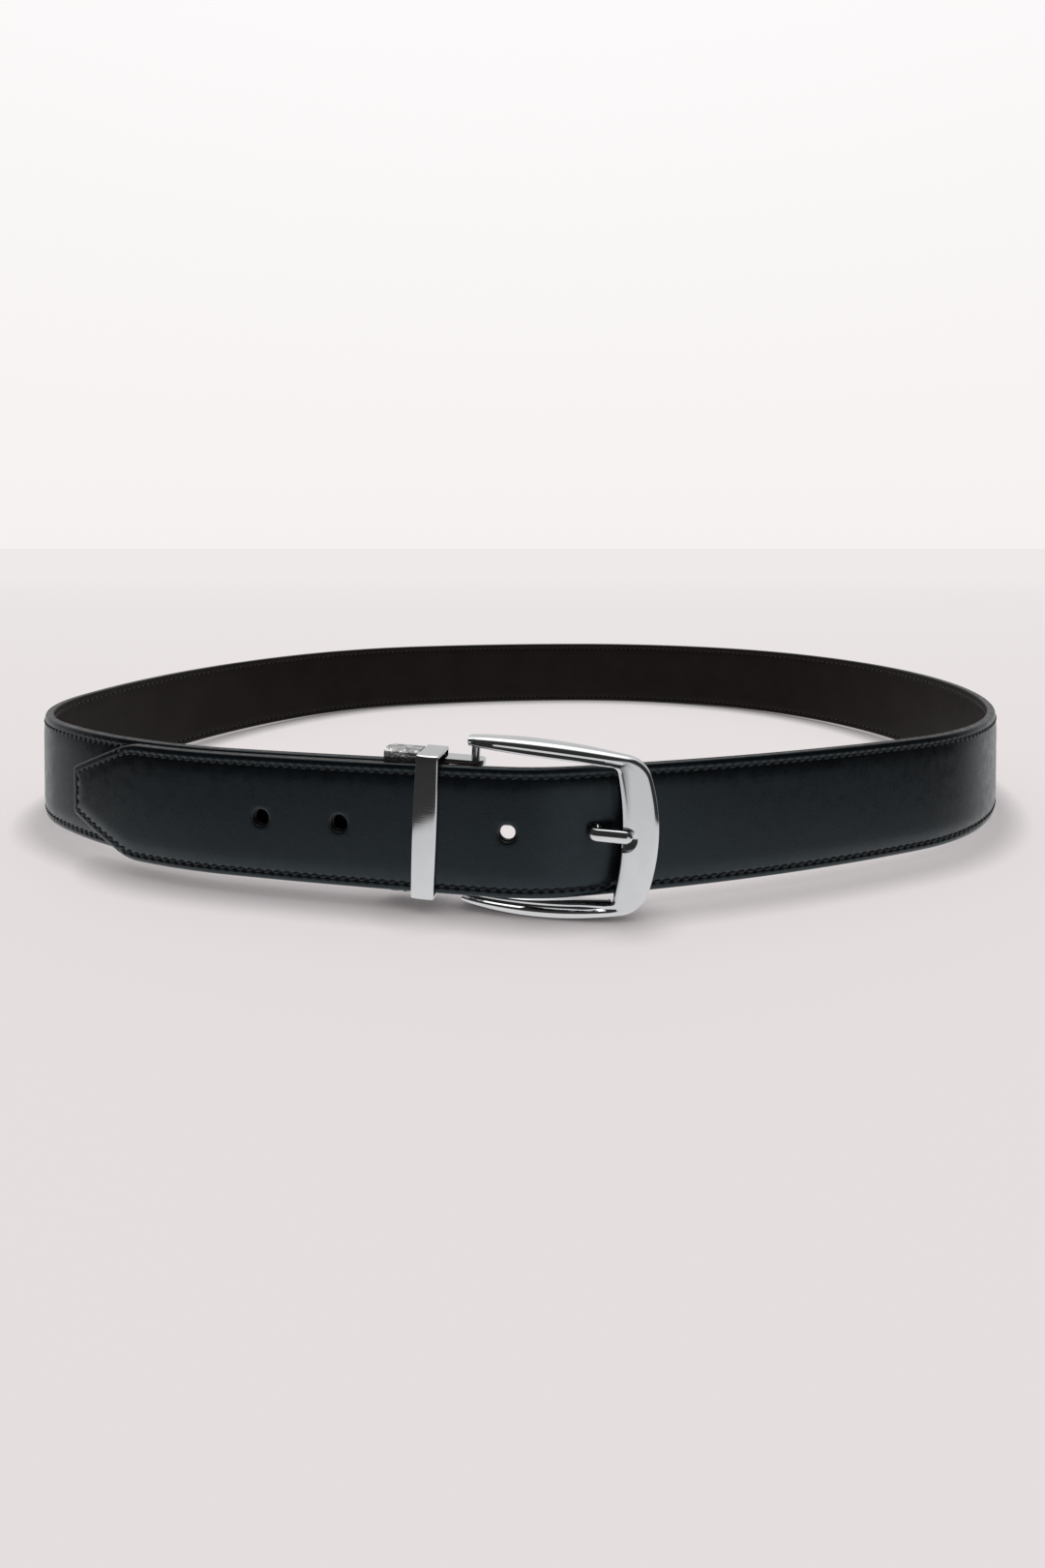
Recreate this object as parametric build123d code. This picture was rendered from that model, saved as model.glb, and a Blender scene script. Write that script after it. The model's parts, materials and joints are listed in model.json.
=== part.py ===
"""Reversible leather dress belt, buckled, standing on its edge (millimetres).

The strap is drawn in its own frame: X to the right, Y away from the buckle, Z up
from the strap's lower edge. The metal buckle group has a frame of its own, on the
axis of its heel pin. The finished belt is then leaned on its buckle and centred.
"""
from build123d import *
import math
import os

# ---- strap -------------------------------------------------------------------
STRAP_WIDTH = 38.0            # a 1 1/2 inch dress strap
FACE_THICK = 1.2              # black face leather
CORE_THICK = 1.2              # bonded leather filler
LINING_THICK = 1.2            # brown lining leather
STRAP_THICK = FACE_THICK + CORE_THICK + LINING_THICK
LAP_DEPTH = 4.7               # face of the under layer, below the face of the tail
HOLE_PITCH = 25.8
HOLE_RADIUS = 2.75
HOLE_HEIGHT = 19.2
HOLE_COUNT = 5                # the prong is in the one furthest from the tip
TIP_LENGTH = 32.0             # over which the end tapers
TIP_HALF_HEIGHT = 8.0         # of the blunt end
STITCH_INSET = 2.6            # seam line to strap edge
THREAD_WIDTH = 0.7
THREAD_DEPTH = 0.5
GROOVE_PLAY = 0.05
PART_GAP = 0.3                # between bodies that pass each other
CUT_MARGIN = 0.1              # by which a cutting shape runs past a face
HEADING_MARGIN = 0.01         # the same along the strap, in degrees
SEAM_REACH = 150.0            # length of the tail's outline, well past its root

# The strap line bends one way all round, so its heading in degrees names a place
# on it. Each stretch ends at a heading and bends at a radius, measured on the face.
LAP_HEADING = -38.0           # where the line starts, and where it closes after one turn
TIP_HEADING = -31.5           # the tail's free end
FRONT_X = -91.9               # where the straight front stretch begins
FRONT_Y = 16.0
STRETCHES = {
    "tail_bend": (-12.0, 202.0),
    "front_left": (-8.5, 1400.0),
    "buckle_hump": (10.0, 70.0),
    "front_right": (22.0, 600.0),
    "right_corner": (63.0, 110.0),
    "right_side": (95.0, None),
    "back_right": (120.0, 134.0),
    "back_corner_right": (155.0, 141.0),
    "back": (180.0, None),
    "back_left": (195.0, 420.0),
    "back_corner_left": (226.0, 147.0),
    "left_side": (266.0, 206.0),
    "left_corner": (322.0, 62.0),
}
SPLIT_HEADING = -11.26        # where the free tail flexes
PIN_HEADING = -8.84           # strap heading at the heel pin

# ---- buckle group: u along the buckle from the pin, v inwards, w up -------------
BUCKLE_LEAN = 2.3             # the buckle hangs nose down
PIN_HEIGHT = 20.7             # pin's middle above the strap's lower edge
PIN_DEPTH = 7.4               # pin axis below the strap's face
PIN_RADIUS = 1.3
PIN_HALF = 23.6
RUNNING_FIT = 0.06
PRESS_FIT = 0.02

EAR_HALF_HEIGHT = 18.2
EAR_THICK = 1.5
EAR_HALF_DEPTH = 3.15
WEB_LEFT = -10.4
WEB_THICK = 3.0

STUD_RADIUS = 1.7
STUD_END = -20.7
WASHER_RADIUS = 2.55
WASHER_LEFT = -20.3
WASHER_THICK = 0.6
SPRING_WIRE = 0.5
SPRING_RADIUS = 2.15
SPRING_PITCH = 1.0

CASE_LEFT = -27.7
CASE_RIGHT = -16.7
CASE_FRONT = -3.5
CASE_BACK = 3.5
CASE_BOTTOM = -23.1
CASE_TOP = 19.8
CASE_WALL = 1.1
CASE_FRONT_WALL = 0.8
CASE_CHAMFER = 2.4            # at the back, on the strap's side
CASE_TOP_CHAMFER = 0.7
NECK_RIGHT = -11.0
NECK_HALF_HEIGHT = 8.0
NECK_HALF_DEPTH = 2.7
CHAMBER_RADIUS = 2.7
CHAMBER_LEFT = -21.1
CHAMBER_RIGHT = -15.6
STRAP_END = -22.3             # cut end of the strap in the clamp
PLATE_HEIGHT = 30.0
PLATE_THICK = 0.8
TOOTH_COUNT = 4
TOOTH_HEIGHT = 0.2
SCREW_RADIUS = 1.25
SCREW_SPACING = 18.0
SCREW_U = -24.6

KEEPER_CENTRE = -12.9
KEEPER_WIDTH = 6.8
KEEPER_BELLY = 0.3            # extra width each side at mid height
KEEPER_FRONT_WALL = 1.15
KEEPER_WALL = 0.8
KEEPER_ROUND = 0.7
KEEPER_BOTTOM = -21.8         # inner faces
KEEPER_TOP = 19.2
KEEPER_BACK = 3.8

FRAME_LEFT = -2.4
FRAME_LEFT_HALF = 24.9
FRAME_CROWN_U = 14.0
FRAME_HALF_HEIGHT = 25.7
FRAME_CORNER_U = 50.9         # where rail and bar outlines would meet unrounded
FRAME_CORNER_HALF = 22.2
FRAME_CORNER_RADIUS = 9.0
FRAME_NOSE = 55.3
HEEL_HALF_DEPTH = 2.4         # half thickness of the rails' ends, front to back
FRAME_ARCH_U = 22.0
FRAME_FRONT = -5.8            # crown of the arch seen from above
FRAME_NOSE_FRONT = -1.5
FRAME_BACK = -0.4
BACK_FLAT_U = 40.8            # the back is flat from here to the nose
FRAME_ROUND = 1.6
BAR_INNER = 44.8
WINDOW_LEFT = -4.4            # past the rails' ends, so the window is open there
WINDOW_LEFT_HALF = 22.1
WINDOW_RIGHT = 42.4
WINDOW_RIGHT_HALF = 19.9
NOTCH_RADIUS = 3.7
NOTCH_U = 45.5
NOTCH_W = -0.8
NOTCH_FLOOR = -2.1

PRONG_EYE_RADIUS = 2.7
PRONG_EYE_HALF = 3.0
PRONG_HALF = 2.0              # half width of shank and arm
PRONG_CRANK_HALF = 1.7
PRONG_THICK = 2.0
CRANK_RADIUS = 36.1           # distance from pin to the crank
PRONG_SEAT_SHIFT = 0.3        # hole's middle beyond the crank: the strap pulls on the prong
SHANK_V = 5.6                 # centre of the shank where it meets the crank
ARM_FRONT = -4.9
ARM_BACK = -2.4
ARM_ROUND = 0.9
FOOT_OVERLAP = 1.2            # of the crank into the shank, in degrees
PRONG_TIP = 47.6


# ---- strap line ----------------------------------------------------------------
def outward(heading):
    """Unit normal on the face side, for a strap that runs along heading."""
    angle = math.radians(heading)
    return (math.sin(angle), -math.cos(angle))


def turn_step(start, end):
    """Travel for a unit radius between two headings."""
    a = outward(start)
    b = outward(end)
    return (b[0] - a[0], b[1] - a[1])


def closed_radii():
    """The stretches, with the two open radii found from the lap closing exactly."""
    gap = outward(LAP_HEADING)
    left_x = -LAP_DEPTH * gap[0]
    left_y = -LAP_DEPTH * gap[1]
    start = LAP_HEADING
    free = []
    for name, (end, radius) in STRETCHES.items():
        step = turn_step(start, end)
        if radius is None:
            free.append((name, step))
        else:
            left_x -= radius * step[0]
            left_y -= radius * step[1]
        start = end
    (name_a, a), (name_b, b) = free
    det = a[0] * b[1] - b[0] * a[1]
    return {
        name_a: (left_x * b[1] - b[0] * left_y) / det,
        name_b: (a[0] * left_y - left_x * a[1]) / det,
    }


def build_arcs():
    """Arcs of the face line, as (centre, radius, start heading, end heading)."""
    free = closed_radii()
    tail_end, tail_radius = STRETCHES["tail_bend"]
    step = turn_step(LAP_HEADING, tail_end)
    x = FRONT_X - tail_radius * step[0]
    y = FRONT_Y - tail_radius * step[1]
    start = LAP_HEADING
    arcs = []
    for name, (end, radius) in STRETCHES.items():
        radius = free.get(name, radius)
        normal = outward(start)
        centre = (x - radius * normal[0], y - radius * normal[1])
        arcs.append((centre, radius, start, end))
        step = turn_step(start, end)
        x += radius * step[0]
        y += radius * step[1]
        start = end
    for centre, radius, a, b in arcs[:2]:
        arcs.append((centre, radius - LAP_DEPTH, a + 360, b + 360))
    return arcs


ARCS = build_arcs()


def arc_at(heading):
    return next(arc for arc in ARCS if arc[2] <= heading <= arc[3])


def face_point(heading, depth=0.0):
    """Point at a depth below the strap's face."""
    centre, radius, _, _ = arc_at(heading)
    normal = outward(heading)
    reach = radius - depth
    return (centre[0] + reach * normal[0], centre[1] + reach * normal[1])


def advance(heading, distance):
    """Heading at a distance along the face line, which may be negative."""
    while distance:
        _, radius, start, end = arc_at(heading)
        goal = heading + math.degrees(distance / radius)
        if start <= goal <= end:
            return goal
        edge = end if distance > 0 else start
        distance -= math.radians(edge - heading) * radius
        heading = edge + math.copysign(1e-9, distance)
    return heading


def band(start, end, depth_out, depth_in, low=0.0, high=STRAP_WIDTH):
    """A layer of the strap between two headings, two depths and two heights."""
    outer = []
    inner = []
    for centre, radius, a, b in ARCS:
        first = max(a, start)
        last = min(b, end)
        if last - first < 1e-6:
            continue
        sweep = last - first
        outer.append(CenterArc(centre, radius - depth_out, first - 90, sweep))
        inner.append(CenterArc(centre, radius - depth_in, first - 90, sweep))
    head = Line(outer[0] @ 0, inner[0] @ 0)
    foot = Line(outer[-1] @ 1, inner[-1] @ 1)
    outline = Wire([*outer, *inner, head, foot])
    return Pos(0, 0, low) * extrude(Face(outline), high - low, (0, 0, 1))


def hole_headings():
    """Adjusting holes, from the prong's hole towards the tip."""
    here = next(h for h in (i * 0.01 for i in range(2000)) if face_point(h)[0] > HOLE_X)
    return [advance(here, -HOLE_PITCH * i) for i in range(HOLE_COUNT)]


# ---- buckle frame --------------------------------------------------------------
PIN_X, PIN_Y = face_point(PIN_HEADING, PIN_DEPTH)
GROUP = Pos(PIN_X, PIN_Y, PIN_HEIGHT) * Rot(0, 0, PIN_HEADING) * Rot(0, BUCKLE_LEAN, 0)
HOLE_X = PIN_X + (CRANK_RADIUS + PRONG_SEAT_SHIFT) * math.cos(math.radians(PIN_HEADING))
HOLES = hole_headings()


def block(u, v, w):
    """Box from three (low, high) pairs in the buckle group's frame."""
    size = (u[1] - u[0], v[1] - v[0], w[1] - w[0])
    middle = ((u[0] + u[1]) / 2, (v[0] + v[1]) / 2, (w[0] + w[1]) / 2)
    return Pos(*middle) * Box(*size)


def rod(radius, length, axis, at):
    """Cylinder centred on a point, along u, v or w."""
    turn = {"u": Rot(0, 90, 0), "v": Rot(90, 0, 0), "w": Rot(0, 0, 0)}[axis]
    return Pos(*at) * turn * Cylinder(radius, length)


# ---- strap pieces ----------------------------------------------------------------
def punch(solid, headings):
    for heading in headings:
        x, y = face_point(heading, STRAP_THICK / 2)
        tool = Rot(90, 0, 0) * Cylinder(HOLE_RADIUS, STRAP_THICK * 2)
        solid = solid - Pos(x, y, HOLE_HEIGHT) * Rot(0, 0, heading) * tool
    return solid


def tip_prism(inset, length=SEAM_REACH):
    """Prism of the strap's end outline, tapering to a blunt tip, seen on its face."""
    half = STRAP_WIDTH / 2
    rise = half - TIP_HALF_HEIGHT
    radius = (TIP_LENGTH**2 + rise**2) / (2 * rise)
    reach = radius - inset
    low_half = half - radius + math.sqrt(reach**2 - (TIP_LENGTH - inset) ** 2)
    middle_s = TIP_LENGTH / 2
    middle_w = half - radius + math.sqrt(reach**2 - (TIP_LENGTH - middle_s) ** 2)
    edge = half - inset
    upper = ThreePointArc((inset, low_half), (middle_s, middle_w), (TIP_LENGTH, edge))
    lower = ThreePointArc((inset, -low_half), (middle_s, -middle_w), (TIP_LENGTH, -edge))
    rest = Polyline((TIP_LENGTH, edge), (length, edge), (length, -edge), (TIP_LENGTH, -edge))
    end = Line((inset, -low_half), (inset, low_half))
    outline = Face(Wire([*upper.edges(), *rest.edges(), *lower.edges(), *end.edges()]))
    prism = Rot(90, 0, 0) * extrude(outline, length / 2, both=True)
    x, y = face_point(TIP_HEADING)
    return Pos(x, y, half) * Rot(0, 0, TIP_HEADING) * prism


def seam_band(inset, width):
    """Prism of the seam line round the tail's outline."""
    return tip_prism(inset - width / 2) - tip_prism(inset + width / 2, SEAM_REACH + 10 * CUT_MARGIN)


def seam_rows(start, end, depth_out, depth_in, width):
    """Both edge seams of the long strap, as strips of the strap's own curve."""
    rows = []
    for height in (STITCH_INSET, STRAP_WIDTH - STITCH_INSET):
        low = height - width / 2
        rows.append(band(start, end, depth_out, depth_in, low, low + width))
    return rows


def make_tail():
    """The free end: layers, with a seam channel on each side, and its threads."""
    start = TIP_HEADING
    end = advance(SPLIT_HEADING, -PART_GAP / 2)
    outline = tip_prism(0.0)
    groove = seam_band(STITCH_INSET, THREAD_WIDTH + 2 * GROOVE_PLAY)
    line = seam_band(STITCH_INSET, THREAD_WIDTH)
    inner = STRAP_THICK - THREAD_DEPTH
    face = (band(start, end, 0, FACE_THICK) & outline)
    face = face - (band(start, end, -CUT_MARGIN, THREAD_DEPTH) & groove)
    core = band(start, end, FACE_THICK, FACE_THICK + CORE_THICK) & outline
    lining = band(start, end, FACE_THICK + CORE_THICK, STRAP_THICK) & outline
    lining = lining - (band(start, end, inner, STRAP_THICK + CUT_MARGIN) & groove)
    thread = band(start, end, GROOVE_PLAY, THREAD_DEPTH) & line
    bobbin = band(start, end, inner, STRAP_THICK - GROOVE_PLAY) & line
    holes = [h for h in HOLES if h < end]
    return {
        "tail_face": punch(face, holes),
        "tail_core": punch(core, holes),
        "tail_lining": punch(lining, holes),
        "tail_seam_thread": thread,
        "tail_bobbin_thread": bobbin,
    }


def make_strap():
    """The long strap, from the tail's root round the waist to the clamp."""
    start = advance(SPLIT_HEADING, PART_GAP / 2)
    end = 360 + advance(PIN_HEADING, STRAP_END)
    groove = THREAD_WIDTH + 2 * GROOVE_PLAY
    inner = STRAP_THICK - THREAD_DEPTH
    face = band(start, end, 0, FACE_THICK)
    for row in seam_rows(start - HEADING_MARGIN, end, -CUT_MARGIN, THREAD_DEPTH, groove):
        face = face - row
    lining = band(start, end, FACE_THICK + CORE_THICK, STRAP_THICK)
    for row in seam_rows(start - HEADING_MARGIN, end, inner, STRAP_THICK + CUT_MARGIN, groove):
        lining = lining - row
    holes = [h for h in HOLES if h > start]
    thread = seam_rows(start, end, GROOVE_PLAY, THREAD_DEPTH, THREAD_WIDTH)
    bobbin = seam_rows(start, end, inner, STRAP_THICK - GROOVE_PLAY, THREAD_WIDTH)
    return {
        "strap_face": punch(face, holes),
        "strap_core": punch(band(start, end, FACE_THICK, FACE_THICK + CORE_THICK), holes),
        "strap_lining": punch(lining, holes),
        "strap_seam_thread": Compound(children=thread),
        "strap_bobbin_thread": Compound(children=bobbin),
    }


# ---- clamp -----------------------------------------------------------------------
def make_clamp():
    """Cast case over the strap's cut end, its toothed plate and two set screws."""
    shell = block((CASE_LEFT, CASE_RIGHT), (CASE_FRONT, CASE_BACK), (CASE_BOTTOM, CASE_TOP))
    corner = shell.edges().filter_by(Axis.Z).sort_by(Axis.X)[:2].sort_by(Axis.Y)[-1]
    shell = chamfer(corner, CASE_CHAMFER)
    shell = chamfer(shell.edges().filter_by(Axis.X).group_by(Axis.Z)[-1], CASE_TOP_CHAMFER)
    shell = shell + block(
        (CASE_RIGHT - 0.5, NECK_RIGHT),
        (-NECK_HALF_DEPTH, NECK_HALF_DEPTH),
        (-NECK_HALF_HEIGHT, NECK_HALF_HEIGHT),
    )
    cavity_front = CASE_FRONT + CASE_FRONT_WALL
    cavity_back = CASE_BACK - CASE_WALL
    shell = shell - block(
        (CASE_LEFT - 1, CHAMBER_LEFT),
        (cavity_front - 0.05, cavity_back),
        (CASE_BOTTOM + CASE_WALL, CASE_TOP - CASE_WALL),
    )
    chamber = CHAMBER_RIGHT - CHAMBER_LEFT
    shell = shell - rod(CHAMBER_RADIUS, chamber, "u", (CHAMBER_LEFT + chamber / 2, 0, 0))
    bore = NECK_RIGHT - CHAMBER_RIGHT + 2
    shell = shell - rod(STUD_RADIUS + RUNNING_FIT, bore, "u", (NECK_RIGHT - bore / 2 + 1, 0, 0))

    plate_back = cavity_back - 0.05
    plate_front = plate_back - PLATE_THICK
    plate_mid = (CASE_BOTTOM + CASE_TOP) / 2
    plate_span = (plate_mid - PLATE_HEIGHT / 2, plate_mid + PLATE_HEIGHT / 2)
    plate_left = CASE_LEFT + 0.6
    plate_right = CHAMBER_LEFT - 0.3
    plate = block((plate_left, plate_right), (plate_front, plate_back), plate_span)
    pitch = (plate_right - plate_left) / TOOTH_COUNT
    for i in range(TOOTH_COUNT):
        left = plate_left + i * pitch
        tooth = Polyline(
            (left, plate_front),
            (left + pitch / 2, plate_front - TOOTH_HEIGHT),
            (left + pitch, plate_front),
            close=True,
        )
        ridge = extrude(make_face(tooth), PLATE_HEIGHT, (0, 0, 1))
        plate = plate + Pos(0, 0, plate_span[0]) * ridge

    screw_length = CASE_BACK - plate_back - 0.05
    screws = []
    for side in (-0.5, 0.5):
        seat = (SCREW_U, plate_back + screw_length / 2, plate_mid + side * SCREW_SPACING)
        shell = shell - rod(SCREW_RADIUS + PRESS_FIT, 3 * CASE_WALL, "v", seat)
        screw = rod(SCREW_RADIUS, screw_length, "v", seat)
        slot = block(
            (SCREW_U - 1.0, SCREW_U + 1.0),
            (CASE_BACK - 0.4, CASE_BACK + 1),
            (seat[2] - 0.2, seat[2] + 0.2),
        )
        screws.append(screw - slot)
    return {
        "clamp_case": GROUP * shell,
        "clamp_plate": GROUP * plate,
        "clamp_screws": GROUP * Compound(children=screws),
    }


# ---- swivel ----------------------------------------------------------------------
def make_swivel():
    """Heel yoke that carries the pin, on a stud that can turn in the case's neck."""
    web_right = WEB_LEFT + WEB_THICK
    depth = (-EAR_HALF_DEPTH, EAR_HALF_DEPTH)
    yoke = block((WEB_LEFT, web_right), depth, (-EAR_HALF_HEIGHT, EAR_HALF_HEIGHT))
    for side in (-1, 1):
        middle = side * (EAR_HALF_HEIGHT - EAR_THICK / 2)
        span = (middle - EAR_THICK / 2, middle + EAR_THICK / 2)
        ear = block((web_right - 0.5, 0), depth, span)
        ear = ear + rod(EAR_HALF_DEPTH, EAR_THICK, "w", (0, 0, middle))
        ear = ear - rod(PIN_RADIUS + RUNNING_FIT, EAR_THICK * 3, "w", (0, 0, middle))
        yoke = yoke + ear
    yoke = yoke - rod(STUD_RADIUS + PRESS_FIT, WEB_THICK * 3, "u", (WEB_LEFT + WEB_THICK / 2, 0, 0))

    stud_length = web_right - 0.2 - STUD_END
    stud = rod(STUD_RADIUS, stud_length, "u", (STUD_END + stud_length / 2, 0, 0))
    washer = rod(WASHER_RADIUS, WASHER_THICK, "u", (WASHER_LEFT + WASHER_THICK / 2, 0, 0))
    washer = washer - rod(STUD_RADIUS + PRESS_FIT, 3, "u", (WASHER_LEFT, 0, 0))

    spring_left = WASHER_LEFT + WASHER_THICK + SPRING_WIRE / 2 + 0.05
    spring_right = CHAMBER_RIGHT - SPRING_WIRE / 2 - 0.05
    coil = Helix(SPRING_PITCH, spring_right - spring_left, SPRING_RADIUS)
    wire = sweep(Plane(coil @ 0, z_dir=coil % 0) * Circle(SPRING_WIRE / 2), coil)
    spring = Pos(spring_left, 0, 0) * Rot(0, 90, 0) * wire
    return {
        "heel_yoke": GROUP * yoke,
        "swivel_stud": GROUP * stud,
        "swivel_washer": GROUP * washer,
        "swivel_spring": GROUP * spring,
    }


# ---- keeper ----------------------------------------------------------------------
def make_keeper():
    """Flat metal loop with a slightly bellied, crowned front."""
    front = -PIN_DEPTH - PART_GAP - 0.05
    half = KEEPER_WIDTH / 2
    low = KEEPER_BOTTOM - KEEPER_WALL
    high = KEEPER_TOP + KEEPER_WALL
    mid = (low + high) / 2
    right = ThreePointArc((half, low), (half + KEEPER_BELLY, mid), (half, high))
    left = ThreePointArc((-half, low), (-half - KEEPER_BELLY, mid), (-half, high))
    base = Line((-half, low), (half, low))
    top = Line((-half, high), (half, high))
    face = Face(Wire([*right.edges(), *top.edges(), *left.edges(), *base.edges()]))
    depth = KEEPER_BACK + KEEPER_WALL - front + KEEPER_FRONT_WALL
    loop = Rot(90, 0, 0) * extrude(face, depth)
    loop = Pos(0, KEEPER_BACK + KEEPER_WALL, 0) * loop
    loop = fillet(loop.edges().filter_by(Axis.X), KEEPER_ROUND)
    loop = loop - block((-10, 10), (front, KEEPER_BACK), (KEEPER_BOTTOM, KEEPER_TOP))
    return {"keeper": GROUP * Pos(KEEPER_CENTRE, 0, 0) * loop}


# ---- frame -----------------------------------------------------------------------
def outline_face(arcs):
    """Closed face from (start, middle, end) runs; a run with no middle is straight."""
    edges = []
    for start, middle, end in arcs:
        run = ThreePointArc(start, middle, end) if middle else Line(start, end)
        edges += run.edges()
    return Face(Wire(edges))


def flip(point):
    return (point[0], -point[1])


def make_frame():
    """D-shaped frame: two arched rails and a bowed front bar with a prong notch."""
    left_top = (FRAME_LEFT, FRAME_LEFT_HALF)
    corner = (FRAME_CORNER_U, FRAME_CORNER_HALF)
    outer = outline_face([
        (left_top, (FRAME_CROWN_U, FRAME_HALF_HEIGHT), corner),
        (corner, (FRAME_NOSE, 0), flip(corner)),
        (flip(corner), (FRAME_CROWN_U, -FRAME_HALF_HEIGHT), flip(left_top)),
        (flip(left_top), None, left_top),
    ])
    outer = fillet(outer.vertices().sort_by(Axis.X)[-2:], FRAME_CORNER_RADIUS)
    mouth = (WINDOW_LEFT, WINDOW_LEFT_HALF)
    inner_corner = (WINDOW_RIGHT, WINDOW_RIGHT_HALF)
    window = outline_face([
        (mouth, None, inner_corner),
        (inner_corner, (BAR_INNER, 0), flip(inner_corner)),
        (flip(inner_corner), None, flip(mouth)),
        (flip(mouth), None, mouth),
    ])
    end = FRAME_NOSE + 1
    plan = outline_face([
        ((FRAME_LEFT, -HEEL_HALF_DEPTH), (FRAME_ARCH_U, FRAME_FRONT), (end, FRAME_NOSE_FRONT)),
        ((end, FRAME_NOSE_FRONT), None, (end, FRAME_BACK)),
        ((end, FRAME_BACK), None, (BACK_FLAT_U, FRAME_BACK)),
        ((BACK_FLAT_U, FRAME_BACK), None, (FRAME_LEFT, HEEL_HALF_DEPTH)),
        ((FRAME_LEFT, HEEL_HALF_DEPTH), None, (FRAME_LEFT, -HEEL_HALF_DEPTH)),
    ])
    shell = (Rot(90, 0, 0) * extrude(outer, 12, both=True)) & extrude(plan, 30, both=True)
    rim = [e for e in shell.edges() if (e @ 0.5).Y < -0.5 and e.length > 2]
    rim = [e for e in rim if (e @ 0.5).X > FRAME_LEFT + 0.5]
    shell = fillet(rim, FRAME_ROUND)
    body = shell - Rot(90, 0, 0) * extrude(window, 12, both=True)
    for side in (-1, 1):
        seat = side * (PIN_HALF + 0.05 - 2)
        body = body - rod(PIN_RADIUS + PRESS_FIT, 4, "w", (0, 0, seat))
    notch = rod(NOTCH_RADIUS, 10, "v", (NOTCH_U, NOTCH_FLOOR - 5, NOTCH_W))
    notch = notch + block(
        (NOTCH_U - 5, NOTCH_U),
        (NOTCH_FLOOR - 10, NOTCH_FLOOR),
        (NOTCH_W - NOTCH_RADIUS, NOTCH_W + NOTCH_RADIUS),
    )
    body = body - notch
    pin = rod(PIN_RADIUS, 2 * PIN_HALF, "w", (0, 0, 0))
    return {"buckle_frame": GROUP * body, "heel_pin": GROUP * pin}


# ---- prong -----------------------------------------------------------------------
def make_prong():
    """Rod with an eye on the pin, cranked through the strap's hole to the notch."""
    half = PRONG_THICK / 2
    slope = math.atan2(SHANK_V, CRANK_RADIUS)
    shank_length = CRANK_RADIUS + half
    shank = Pos(shank_length / 2, 0, 0) * Box(shank_length, PRONG_THICK, 2 * PRONG_HALF)
    shank = Rot(0, 0, math.degrees(slope)) * shank
    eye = rod(PRONG_EYE_RADIUS, 2 * PRONG_EYE_HALF, "w", (0, 0, 0))

    top = math.degrees(math.asin((ARM_FRONT + ARM_ROUND) / CRANK_RADIUS))
    foot = math.degrees(math.asin(SHANK_V / CRANK_RADIUS)) + FOOT_OVERLAP
    outer = CenterArc((0, 0), CRANK_RADIUS + half, top, foot - top)
    inner = CenterArc((0, 0), CRANK_RADIUS - half, top, foot - top)
    crank = Face(Wire([outer, inner, Line(outer @ 0, inner @ 0), Line(outer @ 1, inner @ 1)]))
    crank = extrude(crank, PRONG_CRANK_HALF, both=True)

    arm_left = CRANK_RADIUS - half
    arm_round = PRONG_TIP - PRONG_HALF
    arm_depth = ARM_BACK - ARM_FRONT
    arm_mid = (ARM_FRONT + ARM_BACK) / 2
    arm = block((arm_left, arm_round), (ARM_FRONT, ARM_BACK), (-PRONG_HALF, PRONG_HALF))
    arm = arm + rod(PRONG_HALF, arm_depth, "v", (arm_round, arm_mid, 0))
    arm = fillet(arm.faces().sort_by(Axis.Y)[0].edges(), ARM_ROUND)

    prong = shank + eye + crank + arm
    prong = prong - rod(PIN_RADIUS + RUNNING_FIT, 20, "w", (0, 0, 0))
    return {"prong": GROUP * prong}


# ---- assembly --------------------------------------------------------------------
def build_all():
    pieces = {}
    for make in (make_strap, make_tail, make_clamp, make_swivel, make_keeper, make_frame, make_prong):
        pieces.update(make())
    return pieces


def settle_location(pieces):
    """Lean the belt on its buckle's lower rail and the strap's back edge, and centre it."""
    drop = -pieces["buckle_frame"].bounding_box().min.Z
    back = pieces["strap_core"].bounding_box().max.Y
    lean = Rot(-math.degrees(math.atan2(drop, back)), 0, 0)
    boxes = [(lean * piece).bounding_box() for piece in pieces.values()]
    low = [min(getattr(b.min, axis) for b in boxes) for axis in "XYZ"]
    high = [max(getattr(b.max, axis) for b in boxes) for axis in "XYZ"]
    return Pos(-(low[0] + high[0]) / 2, -(low[1] + high[1]) / 2, -low[2]) * lean


PIECES = build_all()
SETTLE = settle_location(PIECES)

os.makedirs("parts", exist_ok=True)
for node, piece in PIECES.items():
    export_step(SETTLE * piece, f"parts/{node}.step")
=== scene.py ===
import json
import math

import bmesh
import bpy
from mathutils import Matrix, Vector


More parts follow.
